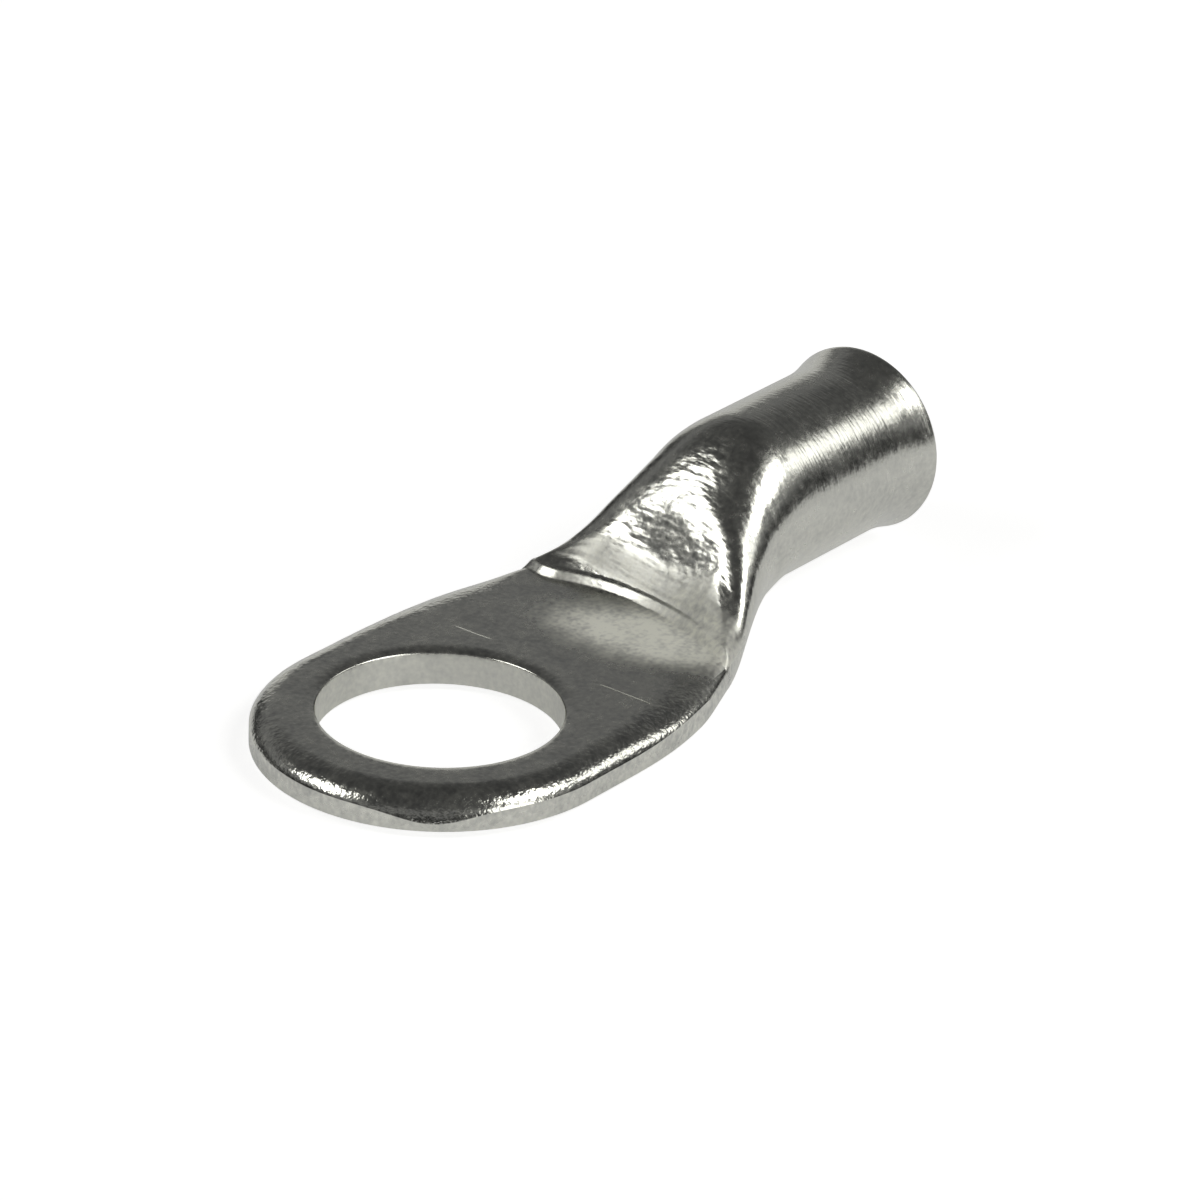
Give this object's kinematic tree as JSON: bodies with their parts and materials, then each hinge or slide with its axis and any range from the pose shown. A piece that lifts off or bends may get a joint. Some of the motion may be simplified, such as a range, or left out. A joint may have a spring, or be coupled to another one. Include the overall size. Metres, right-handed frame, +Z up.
{
  "type": "ring terminal",
  "caption": "Tin-plated tube cable lug: flat ring palm with a stud hole, pressed neck and a round wire barrel with a bell mouth.",
  "frame": {"origin": "centre of the stud hole at the underside of the palm", "axes": "+X along the lug towards the mouth of the wire barrel, +Z up through the stud hole"},
  "size_m": [0.0376, 0.016, 0.0085],
  "materials": {
    "tinned_copper": "bright electro-tinned copper, slightly mottled"
  },
  "bodies": {
    "root": {"lug": "tinned_copper"}
  },
  "joints": []
}
